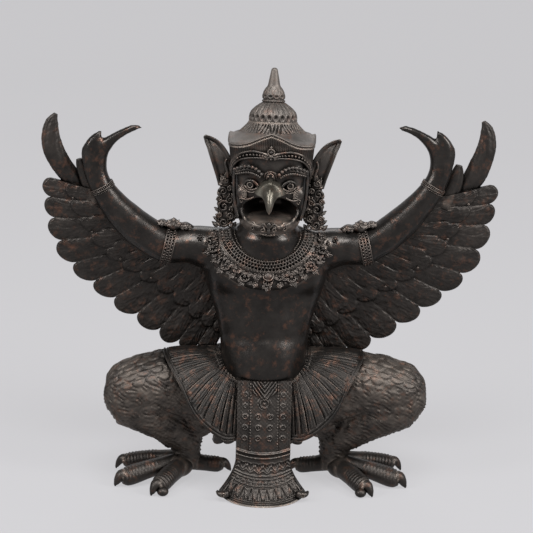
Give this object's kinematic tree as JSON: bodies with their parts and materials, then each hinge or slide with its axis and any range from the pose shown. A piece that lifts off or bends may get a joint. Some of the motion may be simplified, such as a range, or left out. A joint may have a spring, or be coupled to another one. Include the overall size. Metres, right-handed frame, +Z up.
{
  "type": "garuda figurine",
  "caption": "Crouching winged figure with a beaked mask, tiered crown, broad necklace and pleated skirt, one casting in dark bronze.",
  "frame": {"origin": "centre of the bounding box in plan, at the height of the surface that it stands on", "axes": "+Z up, -Y the way the figure faces, +X to the right of someone who looks at its face"},
  "size_m": [0.4144, 0.1508, 0.391],
  "materials": {
    "bronze": "dark brown patina, satin"
  },
  "bodies": {
    "root": {"garuda_figure": "bronze"}
  },
  "joints": []
}
